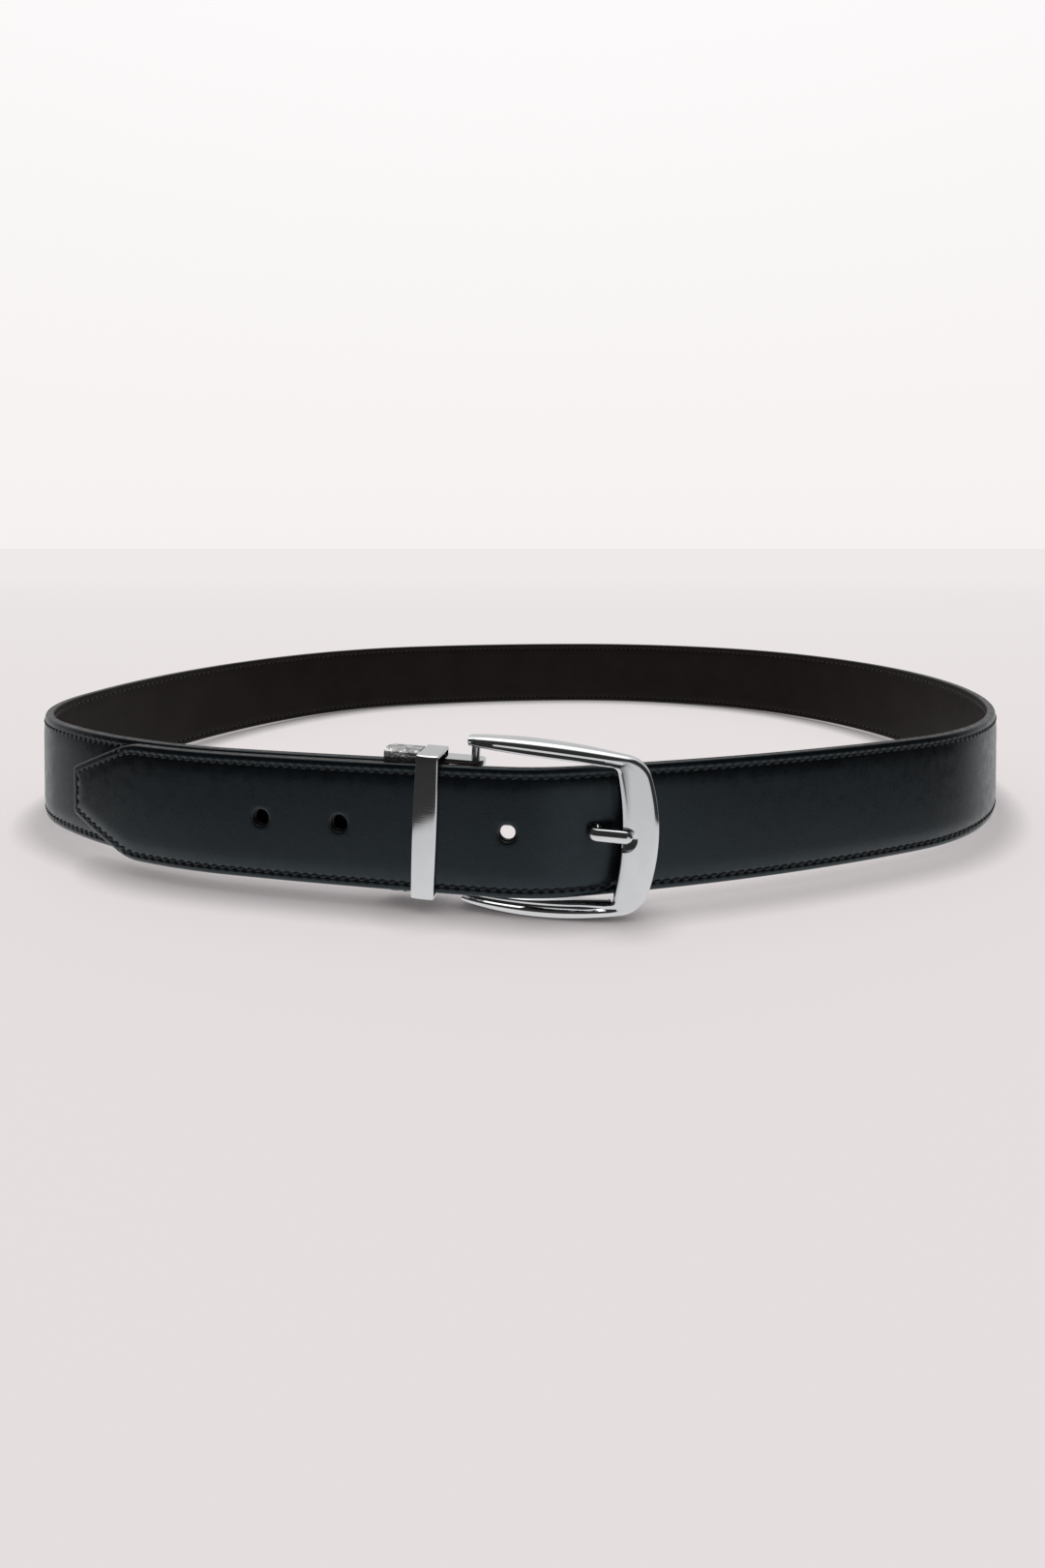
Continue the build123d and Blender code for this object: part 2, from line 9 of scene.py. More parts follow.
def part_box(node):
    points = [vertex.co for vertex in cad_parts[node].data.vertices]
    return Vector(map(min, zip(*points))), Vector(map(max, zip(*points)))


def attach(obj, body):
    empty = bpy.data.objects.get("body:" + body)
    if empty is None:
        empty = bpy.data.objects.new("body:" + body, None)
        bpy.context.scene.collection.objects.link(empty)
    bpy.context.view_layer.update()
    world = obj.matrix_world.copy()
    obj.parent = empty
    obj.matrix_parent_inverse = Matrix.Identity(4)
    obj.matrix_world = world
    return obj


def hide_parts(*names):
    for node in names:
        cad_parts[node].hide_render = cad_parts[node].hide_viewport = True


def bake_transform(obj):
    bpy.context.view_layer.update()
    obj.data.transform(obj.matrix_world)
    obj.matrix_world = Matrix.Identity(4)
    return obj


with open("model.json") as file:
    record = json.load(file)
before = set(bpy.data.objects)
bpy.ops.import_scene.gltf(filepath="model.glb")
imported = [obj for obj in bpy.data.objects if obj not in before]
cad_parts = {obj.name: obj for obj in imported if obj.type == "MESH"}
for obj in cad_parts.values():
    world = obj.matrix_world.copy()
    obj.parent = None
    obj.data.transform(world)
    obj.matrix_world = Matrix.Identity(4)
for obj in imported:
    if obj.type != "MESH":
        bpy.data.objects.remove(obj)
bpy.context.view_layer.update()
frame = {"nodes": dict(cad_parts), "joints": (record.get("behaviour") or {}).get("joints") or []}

# A reversible leather dress belt, buckled, standing on its edge. Lengths are in
# millimetres until lay() and group() turn them into the frame's metres.
MM = 0.001
scene = bpy.context.scene

# ---- strap dimensions ----
FULL_HALF = 19.0             # half the strap's width
LAYER = 1.2                  # each of face, filler and lining
THICK = 3 * LAYER
LAP_DEPTH = 4.7
HOLE_PITCH = 25.8
HOLE_RADIUS = 2.6
HOLE_RISE = 0.2              # of the holes above the strap's middle
HOLE_COUNT = 5
GRIPPED = -0.5               # added to the used hole's radius, so that it grips the prong
TIP_SLOPE = math.radians(21)
SHOULDER_RADIUS = 26.0       # where a sloping side of the tip meets the straight edge
TIP_HALF = 8.0
TIP_ROUND = 1.3
SEAM_INSET = 2.6
STITCH_PITCH = 3.1
STITCH_LENGTH = 2.5
STITCH_RADIUS = 0.33
STITCH_SLANT = math.radians(9)
STITCH_SINK = -0.16          # of a stitch's middle into the seam; negative is proud
STITCH_DIVE = 0.55           # further sink of its ends into the needle holes
STITCH_SPREAD = 1.15         # width against height
STITCH_SIDES = 8
LAP_HEADING = -38.0
TIP_HEADING = -31.5
FRONT_X = -91.9
FRONT_Y = 16.0
STRETCHES = {
    "tail_bend": (-12.0, 202.0),
    "front_left": (-8.5, 1400.0),
    "buckle_hump": (10.0, 70.0),
    "front_right": (22.0, 600.0),
    "right_corner": (63.0, 110.0),
    "right_side": (95.0, None),
    "back_right": (120.0, 134.0),
    "back_corner_right": (155.0, 141.0),
    "back": (180.0, None),
    "back_left": (195.0, 420.0),
    "back_corner_left": (226.0, 147.0),
    "left_side": (266.0, 206.0),
    "left_corner": (322.0, 62.0),
}
SPLIT_HEADING = -11.26
PIN_HEADING = -8.84
PIN_DEPTH = 7.4
PRONG_REACH = 36.4
CUT_END = -22.3              # the strap's cut end, from the pin
EDGE_ZONE = 7.0              # width of the shaped margin
EDGE_ROWS = (0, .1, .35, .7, 1.3, 2.0, 2.3, 2.6, 2.9, 3.2, 3.6, 4.2, 5.0, 6.0, 7.0)
PATCH = 4                    # half side of the square of mesh round a hole
ROW_GAP = 2.6                # widest gap between the mesh's cross rows
TIP_ROWS = (8.5, 10, 12, 14)
# Rings round a punched hole: distance outside its wall, and sink below the surface.
HOLE_RINGS = ((.9, 0), (.4, .04), (.12, .16), (0, .34))
PAINTED_RING = 0.2           # rings closer than this to the wall are painted
FILLER_TRIM = 0.05           # of the filler, inside the leathers' edges
FILLER_HOLE = -0.3           # added to the filler's holes

# Depth below the raised middle, against the distance from the strap's edge.
FACE_PROFILE = ((0, 1.0), (.1, .8), (.35, .58), (.7, .44), (1.3, .35), (2.0, .38), (2.3, .44),
                (2.6, .48), (2.9, .42), (3.2, .34), (3.6, .27), (4.2, .18), (5.0, .09), (6.0, .03), (7.0, 0))
LINING_PROFILE = ((0, .8), (.1, .52), (.35, .3), (.7, .2), (1.3, .16), (2.0, .22), (2.3, .36),
                  (2.6, .46), (2.9, .36), (3.2, .24), (3.6, .17), (4.2, .1), (5.0, .04), (6.0, .01), (7.0, 0))


# ---- frames ----
JOINTS = {joint["name"]: joint for joint in frame["joints"]}


def axes_matrix(x_axis, z_axis, origin):
    """Millimetre axes set at a place in the frame."""
    x = Vector(x_axis).normalized()
    z = Vector(z_axis).normalized()
    y = z.cross(x)
    turn = Matrix((x, y, z)).transposed().to_4x4()
    return Matrix.Translation(origin) @ turn @ Matrix.Scale(MM, 4)


def outward(heading):
    """Direction of a heading, which is 0 at the front and grows to the right."""
    angle = math.radians(heading)
    return Vector((math.sin(angle), -math.cos(angle)))


def build_line():
    """Arcs of the strap's face line from the tip: (centre, radius, start, end, distance)."""
    left = -LAP_DEPTH * outward(LAP_HEADING)
    start = LAP_HEADING
    free = []
    for name, (end, radius) in STRETCHES.items():
        step = outward(end) - outward(start)
        if radius is None:
            free.append((name, step))
        else:
            left -= radius * step
        start = end
    (name_a, a), (name_b, b) = free
    det = a.x * b.y - b.x * a.y
    found = {name_a: (left.x * b.y - b.x * left.y) / det,
             name_b: (a.x * left.y - left.x * a.y) / det}
    tail_end, tail_radius = STRETCHES["tail_bend"]
    here = Vector((FRONT_X, FRONT_Y)) - tail_radius * (outward(tail_end) - outward(LAP_HEADING))
    start = LAP_HEADING
    arcs = []
    for name, (end, radius) in STRETCHES.items():
        radius = found.get(name, radius)
        arcs.append((here - radius * outward(start), radius, start, end))
        here = here + radius * (outward(end) - outward(start))
        start = end
    for centre, radius, first, last in arcs[:2]:
        arcs.append((centre, radius - LAP_DEPTH, first + 360, last + 360))
    line = []
    distance = -tail_radius * math.radians(TIP_HEADING - LAP_HEADING)
    for centre, radius, first, last in arcs:
        line.append((centre, radius, first, last, distance))
        distance += radius * math.radians(last - first)
    return line


LINE = build_line()


def travel(heading):
    """Distance along the face from the tip to a heading."""
    _, radius, first, _, distance = next(arc for arc in LINE if heading <= arc[3])
    return distance + radius * math.radians(heading - first)


def flat_point(s, depth=0.0):
    """Point and outward normal in the strap's own plane, at a distance from the tip."""
    centre, radius, first, _, distance = next(
        arc for arc in reversed(LINE) if s >= arc[4] or arc is LINE[0])
    normal = outward(first + math.degrees((s - distance) / radius))
    return centre + (radius - depth) * normal, normal


def travel_to_x(x, start):
    """Distance at which the face reaches x, going right from start."""
    step = 8.0
    while step > 1e-4:
        while flat_point(start + step)[0].x < x:
            start += step
        step /= 2
    return start


SPLIT = flat_point(travel(SPLIT_HEADING))[0]
HINGE = JOINTS["tail_flex"]
STRAP_FRAME = axes_matrix((1, 0, 0), HINGE["axis"], HINGE["pos_m"])
STRAP_FRAME = STRAP_FRAME @ Matrix.Translation((-SPLIT.x, -SPLIT.y, -FULL_HALF))
SWING = JOINTS["frame_swing"]
GROUP = axes_matrix(JOINTS["keeper_slide"]["axis"], -Vector(SWING["axis"]), SWING["pos_m"])
PIN_S = travel(PIN_HEADING)
PIN_X = flat_point(PIN_S, PIN_DEPTH)[0].x
PRONG_HOLE_S = travel_to_x(PIN_X + PRONG_REACH * math.cos(math.radians(PIN_HEADING)), PIN_S)
HOLES = [PRONG_HOLE_S - HOLE_PITCH * i for i in range(HOLE_COUNT)]
MEET_S = HOLES[2] + PATCH + 0.7          # strap and tail meshes meet under the keeper
CUT_S = travel(360 + PIN_HEADING) + CUT_END


def lay(s, height, depth=0.0):
    """Place on the strap: distance from the tip, height from the middle, depth below the face."""
    point, _ = flat_point(s, depth)
    return STRAP_FRAME @ Vector((point.x, point.y, FULL_HALF + height))


def group(u, v, w):
    """Place in the buckle group: along the buckle, inwards and up, from the heel pin."""
    return GROUP @ Vector((u, v, w))


# ---- meshes ----
class Skin:
    """Points, faces, material picks and flat leather coordinates of one mesh."""

    def __init__(self):
        self.points = []
        self.flat = []
        self.faces = []
        self.picks = []

    def point(self, place, flat=(0.0, 0.0)):
        self.points.append(place)
        self.flat.append(flat)
        return len(self.points) - 1

    def face(self, corners, pick=0):
        self.faces.append(tuple(corners))
        self.picks.append(pick)

    def bridge(self, a, b, pick=0, closed=True):
        """Quads between two rows of the same length."""
        count = len(a) if closed else len(a) - 1
        for i in range(count):
            j = (i + 1) % len(a)
            self.face((a[i], a[j], b[j], b[i]), pick)

    def tube(self, loops):
        """Skin over a row of loops, capped at both ends."""
        for a, b in zip(loops, loops[1:]):
            self.bridge(a, b)
        self.face(loops[0])
        self.face(loops[-1])

    def build(self, name, materials):
        mesh = bpy.data.meshes.new(name)
        mesh.from_pydata(self.points, [], self.faces)
        for material in materials:
            mesh.materials.append(material)
        mesh.polygons.foreach_set("material_index", self.picks)
        mesh.polygons.foreach_set("use_smooth", [True] * len(self.faces))
        layer = mesh.uv_layers.new(name="flat")
        for loop in mesh.loops:
            layer.data[loop.index].uv = self.flat[loop.vertex_index]
        mesh.update()
        piece = bpy.data.objects.new(name, mesh)
        scene.collection.objects.link(piece)
        outward_faces(piece)
        return piece


def outward_faces(piece):
    """Turns every face of a closed mesh outwards."""
    work = bmesh.new()
    work.from_mesh(piece.data)
    bmesh.ops.recalc_face_normals(work, faces=work.faces)
    work.to_mesh(piece.data)
    work.free()


def sharpen(piece, degrees):
    """Smooth shading that breaks at edges sharper than an angle."""
    mesh = piece.data
    work = bmesh.new()
    work.from_mesh(mesh)
    for edge in work.edges:
        if len(edge.link_faces) == 2 and edge.calc_face_angle(0) > math.radians(degrees):
            edge.smooth = False
    work.to_mesh(mesh)
    work.free()


def finish_metal(piece, body, node):
    """Rides a polished piece on its body, in place of the CAD node."""
    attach(piece, body)
    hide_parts(node)


def interpolate(profile, x):
    """Value at x on a chain of straight lines."""
    for (x0, y0), (x1, y1) in zip(profile, profile[1:]):
        if x <= x1:
            share = max(0.0, (x - x0) / (x1 - x0))
            return y0 + (y1 - y0) * share
    return profile[-1][1]


def smooth_step(x, low, high):
    """Rises smoothly from 0 at low to 1 at high."""
    t = min(1.0, max(0.0, (x - low) / (high - low)))
    return t * t * (3 - 2 * t)


# ---- strap ----
SHOULDER_REACH = SHOULDER_RADIUS * math.sin(TIP_SLOPE)
SHOULDER_DROP = SHOULDER_RADIUS * (1 - math.cos(TIP_SLOPE))
TIP_LENGTH = (FULL_HALF - TIP_HALF - SHOULDER_DROP) / math.tan(TIP_SLOPE) + SHOULDER_REACH


def taper(s, inset=0.0):
    """Half height of the outline, or of a line inset from it, near the tip."""
    gap = TIP_LENGTH - s
    if gap <= 0:
        return FULL_HALF - inset
    radius = SHOULDER_RADIUS - inset
    if gap < radius * math.sin(TIP_SLOPE):
        half = FULL_HALF - SHOULDER_RADIUS + math.sqrt(radius**2 - gap**2)
    else:
        drop = SHOULDER_DROP + (gap - SHOULDER_REACH) * math.tan(TIP_SLOPE)
        half = FULL_HALF - drop - inset / math.cos(TIP_SLOPE)
    if s < TIP_ROUND:
        half -= TIP_ROUND - math.sqrt(TIP_ROUND**2 - (TIP_ROUND - s)**2)
    return half


def slope_share(s):
    """Cosine of the outline's slope, which turns a height gap into a distance."""
    gap = min(max(0.0, TIP_LENGTH - s), SHOULDER_REACH)
    return math.sqrt(1 - (gap / SHOULDER_RADIUS)**2)


def full_rows():
    """Heights of the mesh's long rows at full width."""
    low = [-FULL_HALF + d for d in EDGE_ROWS]
    middle = [HOLE_RISE + i for i in range(-PATCH, PATCH + 1)]
    below = [-10.2, -8.2, -6.0]
    above = [6.2, 8.2, 10.2]
    return low + below + middle + above + [-r for r in reversed(low)]


ROWS = full_rows()
FIRST_PATCH_ROW = ROWS.index(HOLE_RISE - PATCH)


def across(row, half):
    """Height of a row where the strap has this half width: the margins keep their own width."""
    inset = FULL_HALF - abs(row)
    squeeze = min(1.0, half / (EDGE_ZONE + 2))
    if inset <= EDGE_ZONE:
        reach = half - inset * squeeze
    else:
        reach = (half - EDGE_ZONE * squeeze) * abs(row) / (FULL_HALF - EDGE_ZONE)
    return math.copysign(reach, row)


def stations(start, end, holes):
    """Distances for the mesh's cross rows, with a patch of close ones at each hole."""
    fixed = [start, end]
    if start == 0:
        fixed += [d for d in EDGE_ROWS if d] + list(TIP_ROWS)
    patches = [(h - PATCH, h + PATCH) for h in holes]
    for hole in holes:
        fixed += [hole + i for i in range(-PATCH, PATCH + 1)]
    fixed.sort()
    result = [fixed[0]]
    for goal in fixed[1:]:
        gap = goal - result[-1]
        inside = any(a - 1e-6 <= result[-1] and goal <= b + 1e-6 for a, b in patches)
        parts = 1 if inside else max(1, math.ceil(gap / ROW_GAP))
        origin = result[-1]
        result += [origin + gap * (i + 1) / parts for i in range(parts)]
    return result


def edge_distance(s, height, half, tipped):
    """Distance from a point on the leather to the nearest edge."""
    if not tipped:
        return half - abs(height)
    return min((half - abs(height)) * slope_share(s), s)


def layer_mesh(name, start, end, holes, outer, inner, materials, trim=0.0, hole_extra=0.0):
    """One closed leather layer. outer and inner give depths from the distance to the edge."""
    tipped = start == 0
    skin = Skin()
    marks = stations(start, end, holes)
    grids = ([], [])
    for s in marks:
        half = (taper(s) if tipped else FULL_HALF) - trim
        place_s = max(s, trim) if tipped else s
        for grid, depth_at in zip(grids, (outer, inner)):
            line = []
            for row in ROWS:
                height = across(row, half)
                depth = depth_at(edge_distance(s, height, half, tipped))
                line.append(skin.point(lay(place_s, height, depth), (s * MM, height * MM)))
            grid.append(line)
    patched = set()
    for hole in holes:
        first = min(range(len(marks)), key=lambda i: abs(marks[i] - (hole - PATCH)))
        add_hole(skin, grids, first, hole, outer, inner, hole_extra)
        for i in range(2 * PATCH):
            for j in range(2 * PATCH):
                patched.add((first + i, FIRST_PATCH_ROW + j))
    for grid in grids:
        for i in range(len(marks) - 1):
            for j in range(len(ROWS) - 1):
                if (i, j) not in patched:
                    corners = (grid[i][j], grid[i + 1][j], grid[i + 1][j + 1], grid[i][j + 1])
                    skin.face(corners, edge_pick(j))
    for j in (0, -1):
        skin.bridge([line[j] for line in grids[0]], [line[j] for line in grids[1]], 1, closed=False)
    for i in (0, -1):
        skin.bridge(grids[0][i], grids[1][i], 1, closed=False)
    return skin.build(name, materials)


def edge_pick(j):
    """Edge paint laps onto the outermost rows."""
    return 1 if j < 1 or j >= len(ROWS) - 2 else 0


def add_hole(skin, grids, first, hole, outer, inner, extra):
    """Rings from the square patch to the punched hole, and its wall. The used hole grips the prong."""
    if hole == PRONG_HOLE_S:
        extra = GRIPPED
    size = 2 * PATCH
    walk = [(i, 0) for i in range(size)] + [(size, j) for j in range(size)]
    walk += [(size - i, size) for i in range(size)] + [(0, size - j) for j in range(size)]
    rims = []
    for side, (grid, depth_at) in enumerate(zip(grids, (outer, inner))):
        loop = [grid[first + i][FIRST_PATCH_ROW + j] for i, j in walk]
        base = depth_at(FULL_HALF)
        inwards = 1 if side == 0 else -1
        for gap, sink in HOLE_RINGS:
            ring = []
            for i, j in walk:
                angle = math.atan2(j - PATCH, i - PATCH)
                reach = HOLE_RADIUS + extra + gap
                s = hole + reach * math.cos(angle)
                height = HOLE_RISE + reach * math.sin(angle)
                depth = base + inwards * sink
                ring.append(skin.point(lay(s, height, depth), (s * MM, height * MM)))
            skin.bridge(loop, ring, 0 if gap > PAINTED_RING else 1)
            loop = ring
        rims.append(loop)
    skin.bridge(rims[0], rims[1], 1)


def face_depth(distance):
    return interpolate(FACE_PROFILE, distance)


def lining_depth(distance):
    return THICK - interpolate(LINING_PROFILE, distance)


def at_depth(depth):
    return lambda distance: depth


def seam_path(tipped, start, end, step=0.25):
    """Seam lines as lists of (distance, height) points."""
    low = -(FULL_HALF - SEAM_INSET)
    if not tipped:
        count = int((end - start) / step)
        marks = [start + step * i for i in range(count + 1)]
        return [[(s, low) for s in marks], [(s, -low) for s in marks]]
    marks = [end - step * i for i in range(int((end - SEAM_INSET) / step) + 1)]
    lower = [(s, -taper(s, SEAM_INSET)) for s in marks]
    foot = lower[-1][1]
    count = int(-foot / step)
    lower += [(SEAM_INSET, foot * (1 - i / count)) for i in range(1, count + 1)]
    return [lower, [(s, -height) for s, height in lower]]


def spaced(path, pitch):
    """Places with directions at equal steps along a path of close points."""
    result = []
    left = pitch / 2
    for (s0, h0), (s1, h1) in zip(path, path[1:]):
        length = math.hypot(s1 - s0, h1 - h0)
        while left <= length:
            share = left / length
            direction = ((s1 - s0) / length, (h1 - h0) / length)
            result.append((s0 + (s1 - s0) * share, h0 + (h1 - h0) * share, direction))
            left += pitch
        left -= length
    return result


def stitch_mesh(name, paths, depth, inwards, material):
    """Separate stitches lying in the seam, each diving into its needle holes."""
    skin = Skin()
    rings = 8
    for path in paths:
        for s, height, (ds, dh) in spaced(path, STITCH_PITCH):
            turn = STITCH_SLANT * inwards
            along = (ds * math.cos(turn) - dh * math.sin(turn), ds * math.sin(turn) + dh * math.cos(turn))
            loops = []
            for i in range(rings + 1):
                x = 2 * i / rings - 1
                girth = STITCH_RADIUS * math.sqrt(max(0.02, 1 - x**4))
                sink = STITCH_SINK + STITCH_DIVE * x**4
                loop = []
                for k in range(STITCH_SIDES):
                    angle = 2 * math.pi * k / STITCH_SIDES
                    side = girth * math.cos(angle) * STITCH_SPREAD
                    rise = girth * math.sin(angle) - sink
                    place_s = s + along[0] * x * STITCH_LENGTH / 2 - along[1] * side
                    place_h = height + along[1] * x * STITCH_LENGTH / 2 + along[0] * side
                    place = lay(place_s, place_h, depth - inwards * rise)
                    loop.append(skin.point(place, (x * STITCH_LENGTH / 2 * MM, angle * MM)))
                loops.append(loop)
            skin.tube(loops)
    return skin.build(name, [material])


# ---- materials ----
def add_node(tree, kind, **values):
    """A new node, with sockets and settings given by name."""
    made = tree.nodes.new(kind)
    for key, value in values.items():
        if key in made.inputs:
            made.inputs[key].default_value = value
        else:
            setattr(made, key, value)
    return made


class Shade:
    """A Principled material with short calls for its nodes."""

    def __init__(self, name, colour, roughness, metallic=0.0, specular=0.5):
        self.material = bpy.data.materials.new(name)
        self.material.use_nodes = True
        self.tree = self.material.node_tree
        self.shader = self.tree.nodes["Principled BSDF"]
        self.shader.inputs["Base Color"].default_value = (*colour, 1)
        self.shader.inputs["Roughness"].default_value = roughness
        self.shader.inputs["Metallic"].default_value = metallic
        self.shader.inputs["Specular IOR Level"].default_value = specular
        self.height = None

    def node(self, kind, **values):
        return add_node(self.tree, kind, **values)

    def link(self, a, b):
        self.tree.links.new(a, b)

    def flat(self):
        return self.node("ShaderNodeUVMap", uv_map="flat").outputs["UV"]

    def solid(self):
        return self.node("ShaderNodeTexCoord").outputs["Object"]

    def noise(self, where, scale, detail=4.0, roughness=0.55):
        made = self.node("ShaderNodeTexNoise", Scale=scale, Detail=detail, Roughness=roughness)
        self.link(where, made.inputs["Vector"])
        return made.outputs["Fac"]

    def cells(self, where, scale, feature="DISTANCE_TO_EDGE"):
        made = self.node("ShaderNodeTexVoronoi", Scale=scale)
        made.feature = feature
        self.link(where, made.inputs["Vector"])
        return made.outputs["Distance"]

    def stretch(self, where, scale):
        made = self.node("ShaderNodeMapping")
        made.inputs["Scale"].default_value = scale
        self.link(where, made.inputs["Vector"])
        return made.outputs["Vector"]

    def remap(self, value, low, high, to_low, to_high):
        made = self.node("ShaderNodeMapRange")
        made.inputs["From Min"].default_value = low
        made.inputs["From Max"].default_value = high
        made.inputs["To Min"].default_value = to_low
        made.inputs["To Max"].default_value = to_high
        self.link(value, made.inputs["Value"])
        return made.outputs["Result"]

    def colours(self, value, first, second):
        """Base colour running between two colours. Returns its socket."""
        made = self.node("ShaderNodeMix", data_type="RGBA")
        made.inputs["A"].default_value = (*first, 1)
        made.inputs["B"].default_value = (*second, 1)
        self.link(value, made.inputs["Factor"])
        self.link(made.outputs["Result"], self.shader.inputs["Base Color"])
        return made.outputs["Result"]

    def sum(self, operation, a, b=None):
        """A Math node on two values, either of which may be a number."""
        made = self.node("ShaderNodeMath", operation=operation)
        for socket, value in zip(made.inputs, (a, b)):
            if isinstance(value, (int, float)):
                socket.default_value = value
            elif value is not None:
                self.link(value, socket)
        return made.outputs["Value"]

    def rough(self, value):
        self.link(value, self.shader.inputs["Roughness"])

    def bump(self, value, strength, distance):
        """Adds a layer of relief over the layers added before it. distance is in metres."""
        made = self.node("ShaderNodeBump", Strength=strength, Distance=distance)
        self.link(value, made.inputs["Height"])
        if self.height:
            self.link(self.height, made.inputs["Normal"])
        self.height = made.outputs["Normal"]
        self.link(self.height, self.shader.inputs["Normal"])


def needle_holes(shade, flat):
    """Two masks along the straight seams: the needle holes, and the soft gather round them. The leather also
    uses the first to paint shade into its colour.
    """
    split = shade.node("ShaderNodeSeparateXYZ")
    shade.link(flat, split.inputs[0])
    count = shade.sum("DIVIDE", shade.sum("SUBTRACT", split.outputs["X"], MEET_S * MM), STITCH_PITCH * MM)
    along = shade.sum("SUBTRACT", count, shade.sum("ROUND", count))
    along = shade.sum("MULTIPLY", along, STITCH_PITCH)
    height = shade.sum("ABSOLUTE", split.outputs["Y"])
    side = shade.sum("MULTIPLY", shade.sum("SUBTRACT", height, (FULL_HALF - SEAM_INSET) * MM), 1 / MM)
    squares = shade.sum("ADD", shade.sum("MULTIPLY", along, along), shade.sum("MULTIPLY", side, side))
    gap = shade.sum("SQRT", squares)
    return shade.remap(gap, .22, .5, 1, 0), shade.remap(gap, .2, 1.5, 1, 0)


def leather(name, dark, light, roughness, grain, specular, pores, tint):
    """Smooth finished leather: fine creased grain, pores, uneven finish, and needle holes darkened in colour
    as painted shade.
    """
    shade = Shade(name, dark, roughness, specular=specular)
    shade.shader.inputs["Specular Tint"].default_value = (*tint, 1)
    flat = shade.flat()
    holes, gather = needle_holes(shade, flat)
    # Painted shade: the needle holes darken the leather's colour.
    tone = shade.sum("SUBTRACT", shade.remap(shade.noise(flat, 60, 5.0), .35, .7, 0, 1), holes)
    shade.colours(shade.sum("MAXIMUM", tone, 0.0), dark, light)
    shade.bump(shade.sum("SUBTRACT", 1.0, shade.sum("POWER", gather, 2.0)), .8, .00022)
    shade.bump(shade.sum("SUBTRACT", 1.0, holes), 1.0, .0004)
    finish = shade.noise(flat, 240, 3.0)
    shade.rough(shade.remap(finish, .3, .7, roughness - .04, roughness + .07))
    shade.bump(shade.noise(flat, 160, 2.0), .25, .00006)
    shade.bump(shade.remap(shade.cells(flat, grain), 0, .25, 0, 1), .22, .00003)
    shade.bump(shade.remap(shade.noise(flat, pores, 3.0), .3, .42, 0, 1), .15, .00003)
    return shade.material


def edge_paint(name, colour):
    shade = Shade(name, colour, .38, specular=.35)
    solid = shade.solid()
    shade.rough(shade.remap(shade.noise(solid, 500, 3.0), .3, .7, .28, .5))
    shade.colours(shade.noise(solid, 300, 4.0), colour, tuple(c * 2.2 for c in colour))
    shade.bump(shade.noise(solid, 700, 3.0), .35, .00008)
    return shade.material


def fibre(name, dark, light):
    """Bonded leather fibre."""
    shade = Shade(name, dark, .85, specular=.2)
    solid = shade.solid()
    long_way = shade.stretch(solid, (1, 1, 3))
    shade.colours(shade.noise(long_way, 1800, 6.0), dark, light)
    shade.bump(shade.noise(long_way, 2500, 5.0), .6, .0001)
    return shade.material


def thread(name, dark, light):
    """Waxed thread, with the twist of its plies."""
    shade = Shade(name, dark, .42, specular=.4)
    flat = shade.flat()
    ply = shade.node("ShaderNodeTexWave", Scale=900.0, Distortion=.6)
    ply.bands_direction = "DIAGONAL"
    shade.link(flat, ply.inputs["Vector"])
    shade.colours(ply.outputs["Fac"], dark, light)
    shade.rough(shade.remap(ply.outputs["Fac"], 0, 1, .36, .55))
    shade.bump(ply.outputs["Fac"], .5, .00008)
    return shade.material


def plated(name, colour, roughness, scratch=.05):
    """Polished plating, with faint polishing lines and slight waviness."""
    shade = Shade(name, colour, roughness, metallic=1.0)
    solid = shade.solid()
    lines = shade.noise(shade.stretch(solid, (1, 1, 14)), 260, 6.0)
    haze = shade.noise(solid, 90, 4.0)
    shade.colours(shade.remap(haze, .35, .65, 0, 1), colour, tuple(c * .93 for c in colour))
    shade.rough(shade.remap(lines, .3, .7, roughness - .015, roughness + .04))
    shade.bump(shade.noise(solid, 45, 2.0), .12, .00012)
    shade.bump(lines, scratch, .00002)
    return shade.material


def cast(name, dark, light):
    """Rough nickel casting: blotched skin with pits."""
    shade = Shade(name, light, .3, metallic=1.0)
    solid = shade.solid()
    blotch = shade.noise(solid, 420, 7.0, .68)
    shade.colours(shade.remap(blotch, .38, .58, 0, 1), dark, light)
    shade.rough(shade.remap(blotch, .35, .65, .46, .2))
    shade.bump(shade.noise(solid, 260, 4.0), .5, .0005)
    shade.bump(shade.remap(shade.cells(solid, 900, "F1"), .1, .5, 0, 1), .45, .00018)
    return shade.material


def turned(name, colour, roughness):
    """Machined steel with fine turning lines."""
    shade = Shade(name, colour, roughness, metallic=1.0)
    solid = shade.solid()
    lines = shade.noise(shade.stretch(solid, (1, 1, 30)), 500, 4.0)
    shade.colours(lines, colour, tuple(c * .85 for c in colour))
    shade.rough(shade.remap(lines, .3, .7, roughness - .03, roughness + .06))
    shade.bump(lines, .15, .00003)
    return shade.material


BLACK = leather("black_leather_finish", (.0022, .0032, .0042), (.0036, .0050, .0062), .27, 2400, .46, 900,
                (.72, .9, 1.0))
BROWN = leather("brown_leather_finish", (.0120, .0088, .0080), (.0170, .0130, .0120), .50, 1700, .14, 700,
                (1.0, .95, .93))
BLACK_EDGE = edge_paint("black_edge_paint", (.0045, .0048, .0052))
BROWN_EDGE = edge_paint("brown_edge_paint", (.0070, .0052, .0045))
FILLER = fibre("leather_filler_fibre", (.016, .012, .010), (.040, .030, .024))
BLACK_THREAD = thread("black_thread_twist", (.004, .005, .007), (.014, .017, .021))
BROWN_THREAD = thread("brown_thread_twist", (.010, .007, .006), (.026, .019, .015))
CHROME = plated("polished_chrome_plate", (.64, .645, .65), .045)
NICKEL = cast("cast_nickel_skin", (.16, .16, .165), (.58, .575, .56))
STEEL = turned("bright_steel_turned", (.52, .52, .53), .2)


